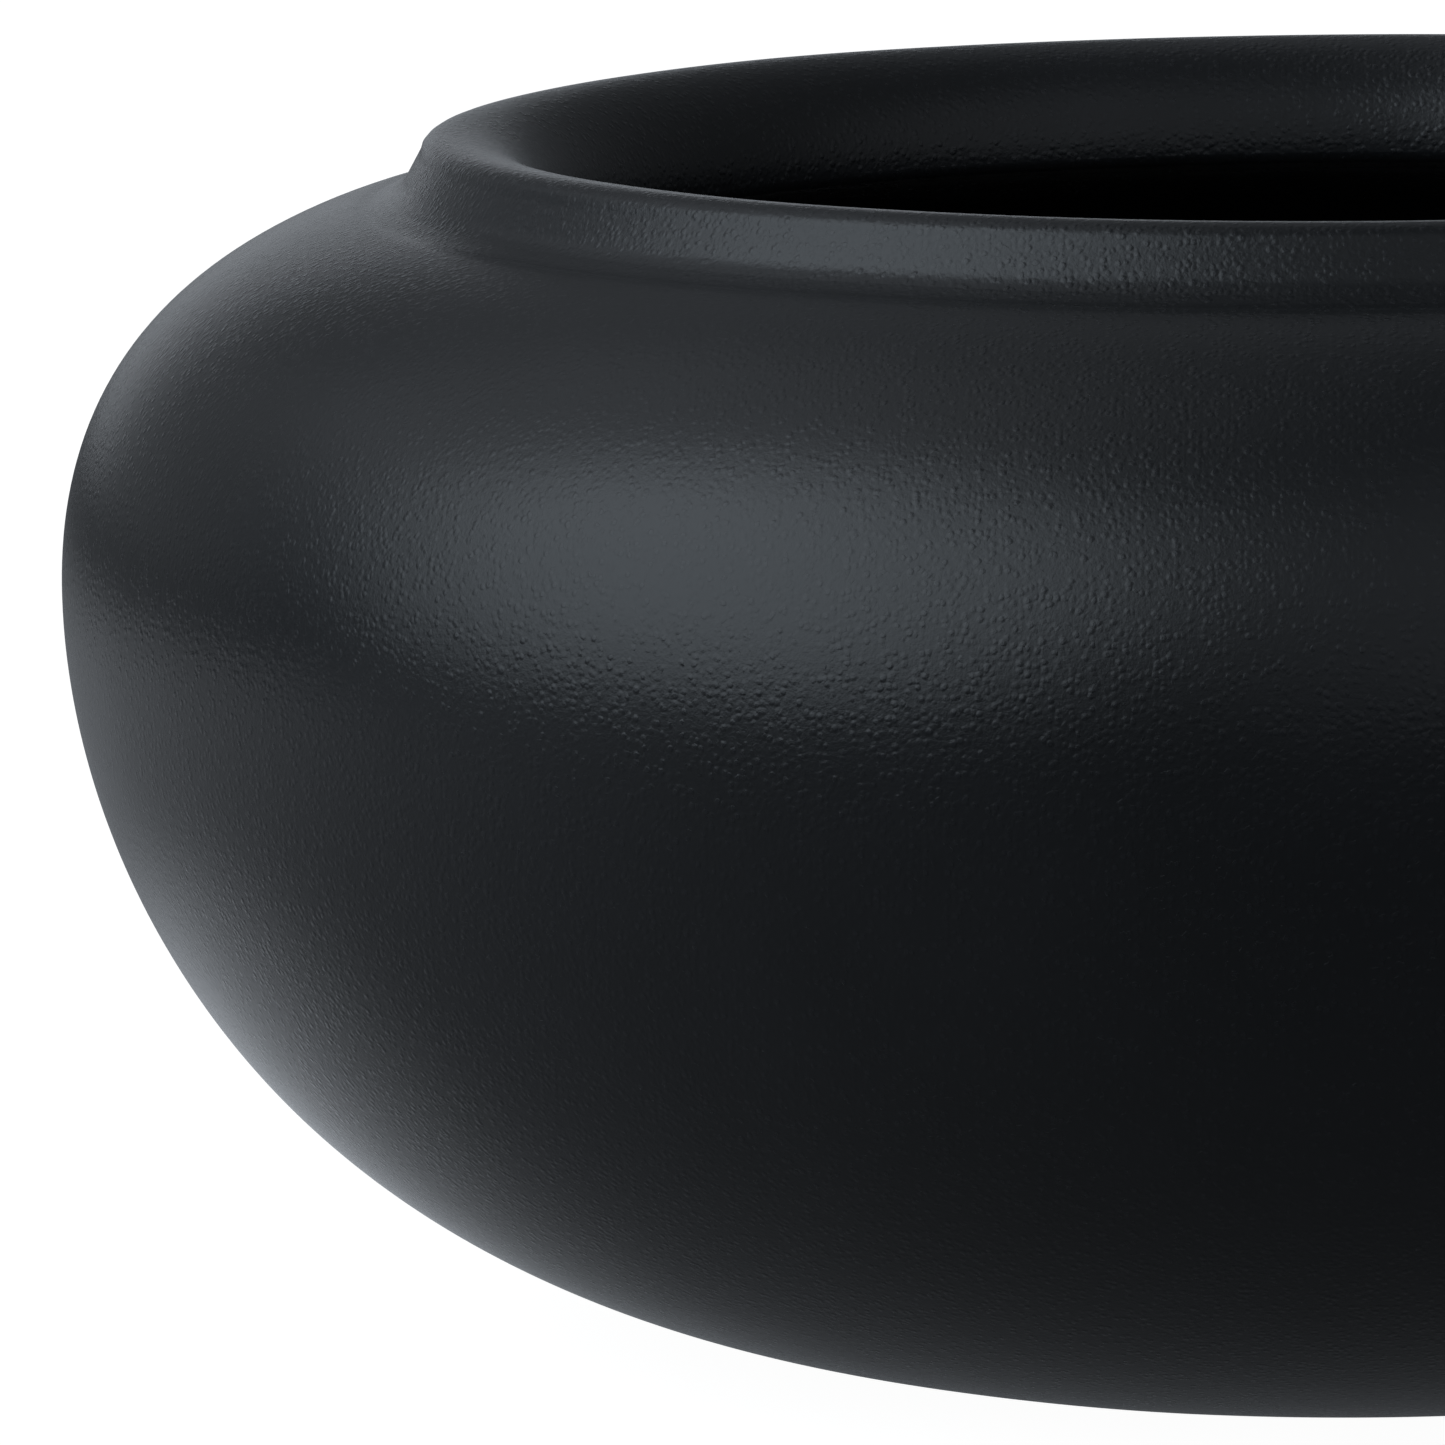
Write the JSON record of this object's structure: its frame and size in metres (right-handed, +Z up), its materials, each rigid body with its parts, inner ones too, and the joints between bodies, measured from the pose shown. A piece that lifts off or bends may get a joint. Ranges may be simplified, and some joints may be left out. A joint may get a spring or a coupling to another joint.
{
  "type": "clay pot",
  "caption": "Low, wide-mouthed round pot of black clay with a squashed globe body, a short collar and a thick rolled lip; it stands on a flat round base.",
  "frame": {"origin": "centre of the flat resting face under the base", "axes": "+Z up along the pot's axis of revolution, from the base to the mouth; the pot is round, so +X and +Y are interchangeable"},
  "size_m": [0.24, 0.24, 0.1113],
  "materials": {
    "raw_black_clay": "unglazed reduction-fired black clay, dead matte and gritty, as left by the board it was built on",
    "scraped_black_clay": "unglazed reduction-fired black clay, scraped and left matte, with a fine sandy grain that catches light at a low angle",
    "wiped_black_clay": "unglazed reduction-fired black clay, wiped round with a wet leather, matte to faintly satin with a sandy grain"
  },
  "bodies": {
    "root": {"floor_slab": "raw_black_clay", "foot_course": "scraped_black_clay", "lower_wall_course": "scraped_black_clay", "lower_belly_course": "scraped_black_clay", "upper_belly_course": "scraped_black_clay", "shoulder_course": "scraped_black_clay", "collar_coil": "wiped_black_clay", "lip_coil": "wiped_black_clay"}
  },
  "joints": []
}
